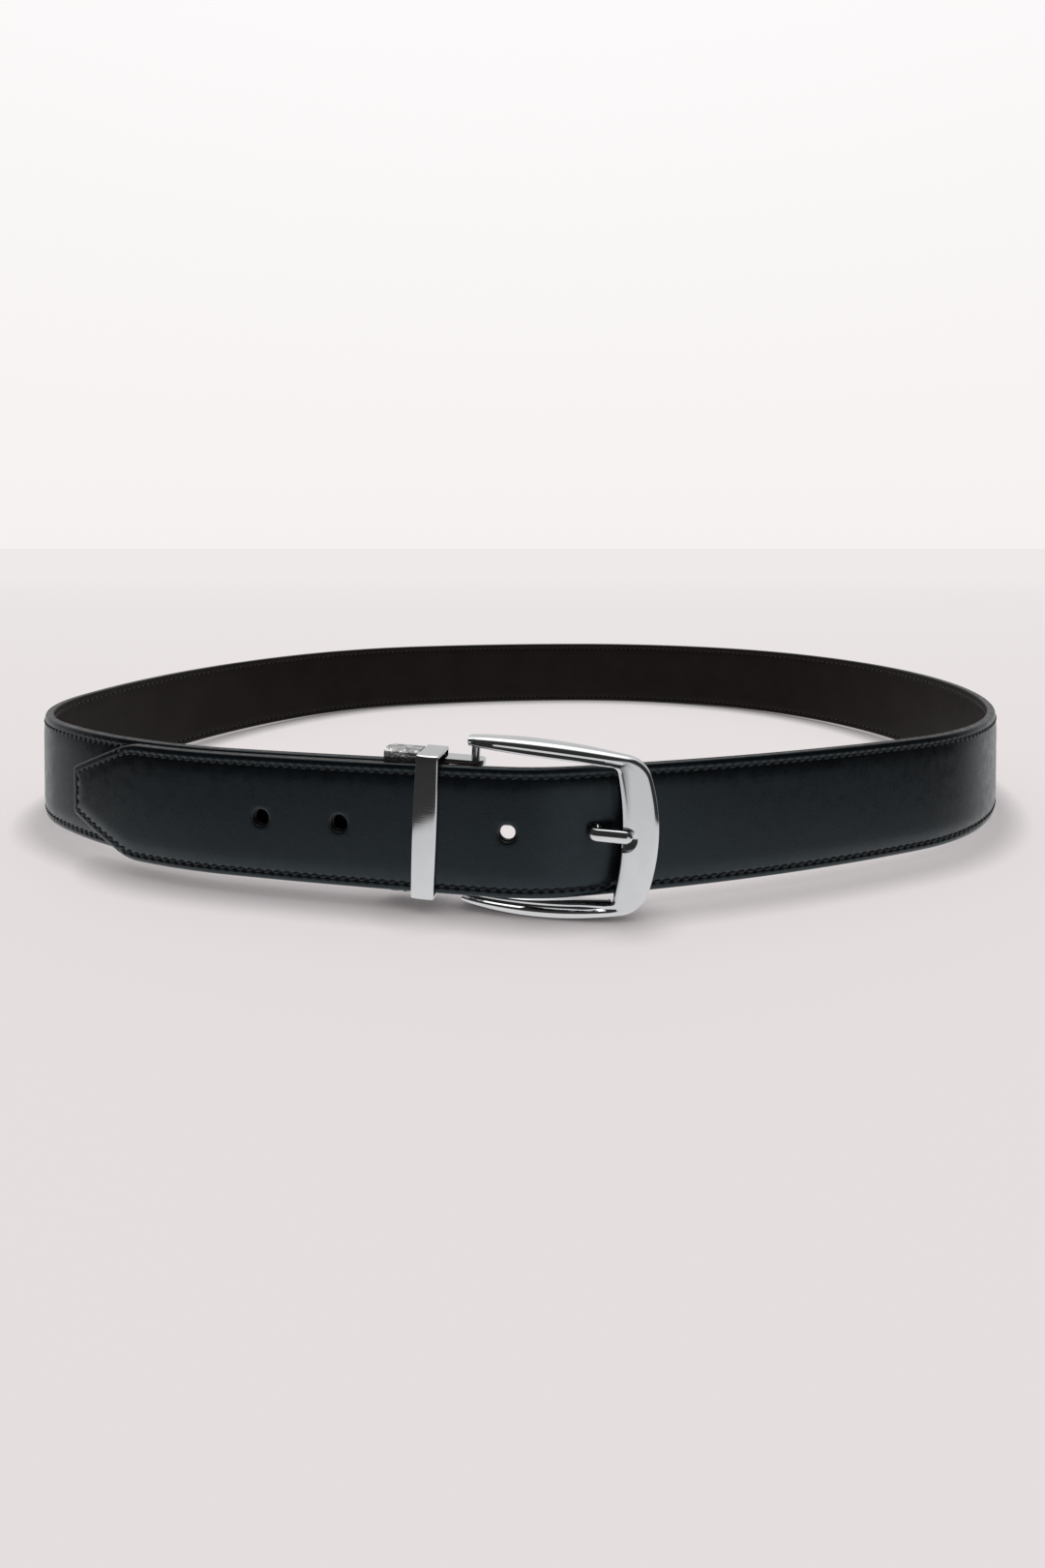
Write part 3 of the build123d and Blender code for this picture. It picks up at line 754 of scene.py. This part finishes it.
# ---- strap pieces ----
def make_leather():
    """Long strap and free tail, each of three layers with stitches on both sides."""
    spans = {"strap": (MEET_S, CUT_S), "tail": (0, MEET_S)}
    for part, (start, end) in spans.items():
        holes = [h for h in HOLES if start < h < end]
        seams = seam_path(part == "tail", start, end)
        made = [
            (layer_mesh(f"{part}_black_leather", start, end, holes, face_depth, at_depth(LAYER),
                        [BLACK, BLACK_EDGE]), "black_leather", f"{part}_face"),
            (layer_mesh(f"{part}_filler", start, end, holes, at_depth(LAYER), at_depth(2 * LAYER),
                        [FILLER, BLACK_EDGE], FILLER_TRIM, FILLER_HOLE), "leather_filler", f"{part}_core"),
            (layer_mesh(f"{part}_brown_leather", start, end, holes, at_depth(2 * LAYER),
                        lining_depth, [BROWN, BROWN_EDGE]), "brown_leather", f"{part}_lining"),
            (stitch_mesh(f"{part}_face_stitches", seams, face_depth(SEAM_INSET), 1, BLACK_THREAD),
             "black_thread", f"{part}_seam_thread"),
            (stitch_mesh(f"{part}_lining_stitches", seams, lining_depth(SEAM_INSET), -1,
                         BROWN_THREAD), "brown_thread", f"{part}_bobbin_thread"),
        ]
        for piece, slot, node in made:
            sharpen(piece, 50)
            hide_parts(node)
            if part == "tail":
                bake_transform(piece)
            else:
                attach(piece, "strap")


# ---- buckle frame ----
FRAME_LEFT = -2.4
OUTER_LEFT = 24.9
OUTER_CROWN = (14.0, 25.7)
OUTER_CORNER = (50.9, 22.2)
OUTER_ROUND = 9.0
NOSE = 55.3
WINDOW_LEFT = (-4.4, 22.1)
WINDOW_CORNER = (42.4, 19.9)
WINDOW_NOSE = 44.8
WINDOW_ROUND = 1.6
FRONT_CROWN = -5.8
BACK_HEEL = 2.4
BACK_FLAT = -0.4
BACK_RUN = 43.2
RAIL_FADE = (34, 50)         # where the rails turn into the bar
NOTCH = (45.5, -0.8)
NOTCH_RADIUS = 3.7
NOTCH_FLOOR = -2.1


def circle_through(a, b, c):
    """Centre and radius of the circle through three flat points."""
    a, b, c = Vector(a), Vector(b), Vector(c)
    d = 2 * (a.x * (b.y - c.y) + b.x * (c.y - a.y) + c.x * (a.y - b.y))
    aa, bb, cc = a.dot(a), b.dot(b), c.dot(c)
    x = (aa * (b.y - c.y) + bb * (c.y - a.y) + cc * (a.y - b.y)) / d
    y = (aa * (c.x - b.x) + bb * (a.x - c.x) + cc * (b.x - a.x)) / d
    centre = Vector((x, y))
    return centre, (centre - a).length


def arc_points(centre, a, b, count):
    """Points along a circle from a to b, the short way."""
    start = math.atan2(a.y - centre.y, a.x - centre.x)
    turn = math.atan2(b.y - centre.y, b.x - centre.x) - start
    turn = (turn + math.pi) % (2 * math.pi) - math.pi
    radius = (a - centre).length
    return [centre + radius * Vector((math.cos(start + turn * i / count), math.sin(start + turn * i / count)))
            for i in range(count + 1)]


def crossing(centre_a, radius_a, centre_b, radius_b):
    """Upper right crossing of two circles."""
    gap = centre_b - centre_a
    d = gap.length
    along = (radius_a**2 - radius_b**2 + d * d) / (2 * d)
    rise = math.sqrt(radius_a**2 - along**2)
    base = centre_a + gap * (along / d)
    side = Vector((-gap.y, gap.x)) / d * rise
    return max((base + side, base - side), key=lambda p: p.x + p.y)


def frame_outlines():
    """Matching points on the outer and the window outline, from the upper heel to the middle."""
    rail_centre, rail_radius = circle_through((FRAME_LEFT, OUTER_LEFT), OUTER_CROWN, OUTER_CORNER)
    bar_centre, bar_radius = circle_through(OUTER_CORNER, (NOSE, 0), (OUTER_CORNER[0], -OUTER_CORNER[1]))
    corner = crossing(rail_centre, rail_radius - OUTER_ROUND, bar_centre, bar_radius - OUTER_ROUND)
    rail_end = rail_centre + (corner - rail_centre).normalized() * rail_radius
    bar_start = bar_centre + (corner - bar_centre).normalized() * bar_radius
    turn_u = WINDOW_CORNER[0] - WINDOW_ROUND
    slope = (WINDOW_CORNER[1] - WINDOW_LEFT[1]) / (WINDOW_CORNER[0] - WINDOW_LEFT[0])

    def window_w(u):
        return WINDOW_LEFT[1] + slope * (u - WINDOW_LEFT[0])

    rail_count, corner_count, bar_count = 44, 14, 22
    outer = arc_points(rail_centre, Vector((FRAME_LEFT, OUTER_LEFT)), rail_end, rail_count)
    inner = []
    for i in range(rail_count + 1):
        u = FRAME_LEFT + (turn_u - FRAME_LEFT) * i / rail_count
        inner.append(Vector((u, window_w(u))))
    outer += arc_points(corner, rail_end, bar_start, corner_count)[1:]
    window_centre, window_radius = circle_through(
        WINDOW_CORNER, (WINDOW_NOSE, 0), (WINDOW_CORNER[0], -WINDOW_CORNER[1]))
    low_w = WINDOW_CORNER[1] - WINDOW_ROUND
    low = Vector((window_centre.x + math.sqrt(window_radius**2 - low_w**2), low_w))
    first = inner[-1]
    apex = Vector(WINDOW_CORNER)
    for i in range(1, corner_count + 1):
        t = i / corner_count
        inner.append(first * (1 - t)**2 + apex * 2 * t * (1 - t) + low * t * t)
    outer += arc_points(bar_centre, bar_start, Vector((NOSE, 0)), bar_count)[1:]
    inner += arc_points(window_centre, low, Vector((WINDOW_NOSE, 0)), bar_count)[1:]
    return outer, inner


PLAN_CENTRE, PLAN_RADIUS = circle_through((FRAME_LEFT, -2.4), (22, FRONT_CROWN), (NOSE + 1, -1.5))


def plan_front(u):
    """Front face of the buckle, seen from above."""
    return PLAN_CENTRE.y - math.sqrt(PLAN_RADIUS**2 - (u - PLAN_CENTRE.x)**2)


def plan_back(u):
    """Back face: it runs forward from the heel and is flat behind the bar."""
    return max(BACK_FLAT, BACK_HEEL + (BACK_FLAT - BACK_HEEL) * (u - FRAME_LEFT) / BACK_RUN)


def frame_section(outer, inner, rail):
    """Closed section between the outlines. rail is 1 on the rails and 0 on the bar."""
    width = (inner - outer).length
    way = (inner - outer) / width
    deep = plan_back(outer.x) - plan_front(outer.x)
    round_out = min(1.5 + .3 * rail, deep * .62)
    ledge = min(1.25, deep * .3) * rail
    crest = width * (.46 - .02 * rail)
    wide = min(1.6, width * .4) * (1 - rail) + crest * .93 * rail
    points = [(.5, None, 0), (.12, None, .14), (0, None, .5), (0, round_out + .02, 0)]
    for step in range(1, 7):
        angle = math.pi / 2 * step / 6
        points.append((wide * (1 - math.cos(angle)), round_out * (1 - math.sin(angle)), 0))
    points += [
        ((wide + crest) / 2, -.03, 0), (crest, 0, 0),
        (width * .56, .16 * ledge, 0), (width * .62, .75 * ledge, 0), (width * .66, ledge + .12 * rail, 0),
        (width * .70, ledge + .06 * rail, 0), (width * .84, ledge, 0),
        (width - .42, ledge + .03, 0), (width - .14, ledge + .13, 0), (width, ledge + .42, 0),
        (width, None, .4), (width - .12, None, .12), (width - .4, None, 0), (width * .5, None, 0),
    ]
    section = []
    for x, below_front, above_back in points:
        spot = outer + way * min(x, width)
        front = plan_front(spot.x)
        back = plan_back(spot.x)
        v = back - above_back if below_front is None else min(front + below_front, back - .2)
        section.append(Vector((spot.x, v, spot.y)))
    return section


def make_frame():
    outer, inner = frame_outlines()
    skin = Skin()
    half = []
    for a, b in zip(outer, inner):
        rail = 1 - smooth_step(a.x, *RAIL_FADE)
        half.append(frame_section(a, b, rail))
    mirrored = [[Vector((p.x, p.y, -p.z)) for p in section] for section in reversed(half[:-1])]
    sections = half + mirrored
    for end, inwards in ((0, 1), (-1, -1)):
        base = sections[end]
        middle = sum(base, Vector()) / len(base)
        caps = []
        for share, shift in ((.55, 0), (.84, .08), (.96, .3)):
            caps.append([middle + (p - middle) * share + Vector((shift, 0, 0)) for p in base])
        moved = [p + Vector((.8, 0, 0)) for p in base]
        if inwards > 0:
            sections = caps + [moved] + sections[2:]
        else:
            sections = sections[:-2] + [moved] + caps[::-1]
    loops = [[skin.point(group(*p)) for p in section] for section in sections]
    skin.tube(loops)
    piece = skin.build("frame_polished", [CHROME])
    cut_notch(piece)
    sharpen(piece, 32)
    finish_metal(piece, "frame", "buckle_frame")


def cut_notch(piece):
    """Cuts the round seat for the prong's tip into the bar's inner edge."""
    skin = Skin()
    count = 48
    rings = []
    for v, extra in ((-9.0, .0), (NOTCH_FLOOR - .25, .0), (NOTCH_FLOOR - .07, -.07), (NOTCH_FLOOR, -.25)):
        ring = []
        for k in range(count):
            angle = 2 * math.pi * k / count
            reach = NOTCH_RADIUS + extra
            u = NOTCH[0] + reach * math.cos(angle)
            w = NOTCH[1] + reach * math.sin(angle)
            if math.cos(angle) < 0:
                u = NOTCH[0] + 2.2 * reach * math.cos(angle)
            ring.append(skin.point(group(u, v, w)))
        rings.append(ring)
    skin.tube(rings)
    tool = skin.build("notch_tool", [CHROME])
    cut = piece.modifiers.new("notch", "BOOLEAN")
    cut.operation = "DIFFERENCE"
    cut.object = tool
    apply_modifiers(piece)
    bpy.data.objects.remove(tool)


def apply_modifiers(piece):
    """Keeps the evaluated mesh and drops the modifiers."""
    bpy.context.view_layer.update()
    graph = bpy.context.evaluated_depsgraph_get()
    mesh = bpy.data.meshes.new_from_object(piece.evaluated_get(graph))
    piece.modifiers.clear()
    piece.data = mesh


# ---- prong ----
PRONG_EYE = 2.7
PIN_BORE = 1.36
CRANK_RADIUS = 36.1
SHANK_END = 5.6
ARM_MIDDLE = -3.65
ARM_THICK = 2.46
ARM_HALF = 1.97              # half height of the arm
ARM_START = 38.8
PRONG_TIP = 47.6
TIP_REACH = 2.2              # length of the rounded tip


def prong_path():
    """Centre line in the buckle's plan, with half height and half thickness at each point."""
    path = [(2.0 + 3.0 * i, (2.0 + 3.0 * i) * SHANK_END / CRANK_RADIUS, 1.95, .95) for i in range(11)]
    for v in (5.45, 5.05, 4.3, 3.0, 1.5, 0, -1.4, -2.4):
        swell = smooth_step(5.4 - v, 0, 2.5)
        lean = .25 * smooth_step(v, 3.5, 5.4) + .1 * swell
        path.append((math.sqrt(CRANK_RADIUS**2 - v * v) - lean, v, 1.9 + .1 * swell, .95 + .4 * swell))
    path += [(36.25, -3.05, ARM_HALF, 1.3), (36.75, -3.45, ARM_HALF, 1.25),
             (37.6, ARM_MIDDLE, ARM_HALF, 1.23)]
    arm = ARM_THICK / 2
    tip_start = PRONG_TIP - TIP_REACH
    steps = 5
    for i in range(steps + 1):
        path.append((ARM_START + (tip_start - ARM_START) * i / steps, ARM_MIDDLE, ARM_HALF, arm))
    for x in (.35, .6, .8, .93, .99):
        shrink = math.sqrt(1 - x * x)
        v = ARM_MIDDLE + .25 * (1 - shrink)
        path.append((tip_start + TIP_REACH * x, v, ARM_HALF * shrink, arm * (.35 + .65 * shrink)))
    return path


def make_prong():
    """Cranked prong: round-edged bar swept along its plan line, with an eye on the pin."""
    path = prong_path()
    skin = Skin()
    loops = []
    sides = 20
    for i, (u, v, half_w, half_t) in enumerate(path):
        before = path[max(0, i - 1)]
        after = path[min(len(path) - 1, i + 1)]
        way = Vector((after[0] - before[0], after[1] - before[1])).normalized()
        normal = Vector((way.y, -way.x))
        loop = []
        for k in range(sides):
            angle = 2 * math.pi * k / sides
            c, s = math.cos(angle), math.sin(angle)
            out = math.copysign(abs(c)**.75, c) * half_t
            up = math.copysign(abs(s)**.75, s) * half_w
            loop.append(skin.point(group(u + normal.x * out, v + normal.y * out, up)))
        loops.append(loop)
    skin.tube(loops)
    piece = skin.build("prong_polished", [CHROME])
    lower = [(PIN_BORE, -2.9), (2.3, -2.95), (2.62, -2.6), (PRONG_EYE, -2.2)]
    eye = lathe("eye_tool", lower + [(r, -w) for r, w in reversed(lower)])
    joined = piece.modifiers.new("eye", "BOOLEAN")
    joined.operation = "UNION"
    joined.object = eye
    apply_modifiers(piece)
    bpy.data.objects.remove(eye)
    sharpen(piece, 38)
    finish_metal(piece, "prong", "prong")


def lathe(name, profile, count=40):
    """Closed ring of (radius, height) points about the heel pin."""
    skin = Skin()
    loops = []
    for k in range(count):
        angle = 2 * math.pi * k / count
        loops.append([skin.point(group(r * math.cos(angle), r * math.sin(angle), w)) for r, w in profile])
    for k in range(count):
        skin.bridge(loops[k], loops[(k + 1) % count])
    return skin.build(name, [CHROME])


# ---- keeper ----
KEEPER_MIDDLE = -12.9
KEEPER_HALF = 3.4
KEEPER_BELLY = 0.28
KEEPER_INNER = ((-7.75, 3.8), (-21.8, 19.2))
KEEPER_WALLS = (1.15, 0.8)
KEEPER_CROWN = 0.34
KEEPER_BOW = 0.3


def rounded_loop(v_low, v_high, w_low, w_high, radius, side_steps):
    """Points round a rectangle with rounded corners, starting on the front face."""

    def on_corner(v, w, degrees):
        angle = math.radians(degrees)
        centre_v = v + radius * (1 if v == v_low else -1)
        centre_w = w + radius * (1 if w == w_low else -1)
        return centre_v + radius * math.cos(angle), centre_w + radius * math.sin(angle)

    points = []
    corners = [((v_low, w_low), 180), ((v_high, w_low), 270), ((v_high, w_high), 0), ((v_low, w_high), 90)]
    for number, (place, start) in enumerate(corners):
        points += [on_corner(*place, start + 90 * step / 5) for step in range(6)]
        following, angle = corners[(number + 1) % 4]
        begin = points[-1]
        end = on_corner(*following, angle)
        for step in range(1, side_steps):
            share = step / side_steps
            points.append((begin[0] + (end[0] - begin[0]) * share, begin[1] + (end[1] - begin[1]) * share))
    return points


def make_keeper():
    """Loop of flat bar with a crowned, bellied front and softened edges."""
    (v0, v1), (w0, w1) = KEEPER_INNER
    front, wall = KEEPER_WALLS
    steps = 20
    outer = rounded_loop(v0 - front, v1 + wall, w0 - wall, w1 + wall, .75, steps)
    inner = rounded_loop(v0, v1, w0, w1, .2, steps)
    skin = Skin()
    loops = []
    middle_w = (w0 + w1) / 2
    reach_w = (w1 - w0) / 2 + wall
    columns = [-1, -.985, -.94, -.86, -.7, -.45, -.15, .15, .45, .7, .86, .94, .985, 1]
    drops = [.3, .14, .04, 0, 0, 0, 0, 0, 0, 0, 0, .04, .14, .3]
    for (ov, ow), (iv, iw) in zip(outer, inner):
        height = (ow - middle_w) / reach_w
        on_front = smooth_step(-ov, 6.0, 8.2)
        half = KEEPER_HALF + KEEPER_BELLY * (1 - height * height) * on_front
        outwards = Vector((ov - iv, ow - iw)).normalized()
        section = []
        for column, drop in zip(columns, drops):
            crown = KEEPER_CROWN * column * column * on_front
            bow = KEEPER_BOW * height * height * on_front
            v = ov - outwards.x * (drop + crown) + bow
            w = ow - outwards.y * drop
            section.append(group(KEEPER_MIDDLE + half * column, v, w))
        for column in (1, .5, 0, -.5, -1):
            section.append(group(KEEPER_MIDDLE + half * column, iv, iw))
        loops.append([skin.point(p) for p in section])
    for k in range(len(loops)):
        skin.bridge(loops[k], loops[(k + 1) % len(loops)])
    piece = skin.build("keeper_polished", [CHROME])
    sharpen(piece, 40)
    finish_metal(piece, "keeper", "keeper")


# ---- carried-over metal ----
def finish_cad():
    """Materials and softened edges for the CAD pieces that stay."""
    looks = {
        "clamp_case": (NICKEL, .35),
        "clamp_plate": (STEEL, .08),
        "clamp_screws": (STEEL, .08),
        "heel_yoke": (CHROME, .3),
        "heel_pin": (STEEL, .25),
        "swivel_stud": (STEEL, .2),
        "swivel_washer": (STEEL, .1),
        "swivel_spring": (STEEL, 0),
    }
    for node, (material, width) in looks.items():
        piece = frame["nodes"][node]
        piece.data.materials.clear()
        piece.data.materials.append(material)
        for polygon in piece.data.polygons:
            polygon.material_index = 0
        if width:
            bevel = piece.modifiers.new("softened", "BEVEL")
            bevel.width = width * MM
            bevel.segments = 3
            bevel.limit_method = "ANGLE"
            bevel.angle_limit = math.radians(40)


# ---- studio ----
FLOOR_HALF = 6.0
CAMERA_GAP = 0.21404         # camera in front of the strap's front
CAMERA_HEIGHT = 0.11162
CAMERA_DIP = math.radians(2.08)
LENS = 17.224
SHIFT = -0.14105
FLOOR_NEAR = (.150, .140, .1413)
FLOOR_FAR = (.165, .159, .1574)
FLOOR_FADE = (-.35, 1.6)     # where the near tone ends and the far tone begins, front to back: painted light, lighter at the back
FLOOR_GLOW = 4.35            # its own light, which keeps the wide shadows faint
CONTACT_SHADOW_REACH = .014         # of the painted contact shadow, a dark line where the belt meets the floor
CONTACT_SHADOW_POWER = 1.6
BACKDROP_LOW = (.913, .88, .871)
BACKDROP_HIGH = (.975, .96, .96)
# Tones of the studio against the direction's rise, and its parts across and behind.
FRONT_TONES = ((-1, .95), (-.4, .92), (-.33, .8), (-.312, .05), (-.1, .035), (.3, .04), (.78, .05),
               (.87, .8), (.93, 1.7), (1, 2.1))
BACK_TONES = ((-1, .8), (-.05, .75), (.0, .7), (.4, .7), (.7, 1.2), (1, 2.1))
BACK_SHARE = ((-1, 0), (0, 0), (.45, 1), (1, 1))
CARD_ACROSS = ((-1, 0), (.08, 0), (.2, 1), (.5, 1), (.62, 0), (1, 0))
CARD_UP = ((-1, .8), (-.2, .8), (-.08, 0), (1, 0))


def make_floor():
    """Pale paper, painted lighter towards the back, glowing with its own light, with a painted contact shadow
    where the belt meets it.
    """
    mesh = bpy.data.meshes.new("studio_floor")
    corners = [(-1, -1), (1, -1), (1, 1), (-1, 1)]
    mesh.from_pydata([(x * FLOOR_HALF, y * FLOOR_HALF, 0) for x, y in corners], [], [(0, 1, 2, 3)])
    floor = bpy.data.objects.new("studio_floor", mesh)
    scene.collection.objects.link(floor)
    shade = Shade("studio_floor_paper", FLOOR_NEAR, 1.0, specular=0)
    split = shade.node("ShaderNodeSeparateXYZ")
    shade.link(shade.solid(), split.inputs[0])
    # Painted light: the floor's colour and glow grow lighter from front to back.
    tone = shade.colours(shade.remap(split.outputs["Y"], *FLOOR_FADE, 0, 1), FLOOR_NEAR, FLOOR_FAR)
    shade.link(tone, shade.shader.inputs["Emission Color"])
    # Painted contact shadow: ambient occlusion dims the floor's glow next to the belt.
    contact_shadow = shade.node("ShaderNodeAmbientOcclusion", samples=8, Distance=CONTACT_SHADOW_REACH)
    glow = shade.sum("MULTIPLY", shade.sum("POWER", contact_shadow.outputs["AO"], CONTACT_SHADOW_POWER), FLOOR_GLOW)
    shade.link(glow, shade.shader.inputs["Emission Strength"])
    mesh.materials.append(shade.material)
    floor.visible_glossy = False


def make_world():
    """A studio seen in reflections: bright floor, back and ceiling, and dim above the front."""
    world = bpy.data.worlds.new("studio")
    scene.world = world
    world.use_nodes = True
    tree = world.node_tree
    tree.nodes.clear()

    def node(kind, **values):
        return add_node(tree, kind, **values)

    def ramp(value, low, high, stops):
        scaled = node("ShaderNodeMapRange", **{"From Min": low, "From Max": high})
        tree.links.new(value, scaled.inputs["Value"])
        made = node("ShaderNodeValToRGB")
        set_ramp(made, [((place - low) / (high - low), tone) for place, tone in stops])
        tree.links.new(scaled.outputs["Result"], made.inputs["Fac"])
        return made.outputs["Color"]

    def mix(kind, factor, a, b):
        made = node("ShaderNodeMix", data_type="RGBA", blend_type=kind)
        made.inputs["Factor"].default_value = 1.0
        if factor is not None:
            tree.links.new(factor, made.inputs["Factor"])
        tree.links.new(a, made.inputs["A"])
        tree.links.new(b, made.inputs["B"])
        return made.outputs["Result"]

    where = node("ShaderNodeTexCoord")
    split = node("ShaderNodeSeparateXYZ")
    tree.links.new(where.outputs["Generated"], split.inputs[0])
    x, y, z = (split.outputs[axis] for axis in "XYZ")
    front = ramp(z, -1, 1, FRONT_TONES)
    back = ramp(z, -1, 1, BACK_TONES)
    card = mix("MULTIPLY", None, ramp(x, -1, 1, CARD_ACROSS), ramp(z, -1, 1, CARD_UP))
    front = mix("LIGHTEN", None, front, card)
    around = mix("MIX", ramp(y, -1, 1, BACK_SHARE), front, back)
    low = node("ShaderNodeRGB")
    low.outputs[0].default_value = (*BACKDROP_LOW, 1)
    high = node("ShaderNodeRGB")
    high.outputs[0].default_value = (*BACKDROP_HIGH, 1)
    backdrop = mix("MIX", ramp(z, -1, 1, ((-1, 0), (0, 0), (.6, 1))), low.outputs[0], high.outputs[0])
    seen = mix("MIX", node("ShaderNodeLightPath").outputs["Is Camera Ray"], around, backdrop)
    background = node("ShaderNodeBackground")
    tree.links.new(seen, background.inputs["Color"])
    output = node("ShaderNodeOutputWorld")
    tree.links.new(background.outputs[0], output.inputs["Surface"])


def set_ramp(node, stops):
    """Grey stops, very slightly cool."""
    ramp = node.color_ramp
    while len(ramp.elements) < len(stops):
        ramp.elements.new(.5)
    for element, (place, value) in zip(ramp.elements, stops):
        element.position = place
        element.color = (value, value, value * 1.01, 1)


def soft_light(name, place, aim, size, power):
    data = bpy.data.lights.new(name, "AREA")
    data.shape = "RECTANGLE"
    data.size, data.size_y = size
    data.energy = power
    light = bpy.data.objects.new(name, data)
    scene.collection.objects.link(light)
    light.location = place
    light.rotation_euler = (Vector(aim) - Vector(place)).to_track_quat("-Z", "Y").to_euler()


def make_studio():
    make_floor()
    make_world()
    soft_light("overhead_light", (-.25, .2, 1.6), (0, 0, 0), (1.8, 1.2), 3)
    strap_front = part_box("strap_face")[0].y
    camera_data = bpy.data.cameras.new("camera")
    camera = bpy.data.objects.new("camera", camera_data)
    scene.collection.objects.link(camera)
    camera_data.lens = LENS
    camera_data.shift_y = SHIFT
    camera_data.clip_start = .01
    camera.location = (STRAP_FRAME.translation.x, strap_front - CAMERA_GAP, CAMERA_HEIGHT)
    camera.rotation_euler = (math.pi / 2 - CAMERA_DIP, 0, 0)
    scene.camera = camera
    scene.view_settings.view_transform = "Standard"


make_leather()
make_frame()
make_prong()
make_keeper()
finish_cad()
make_studio()
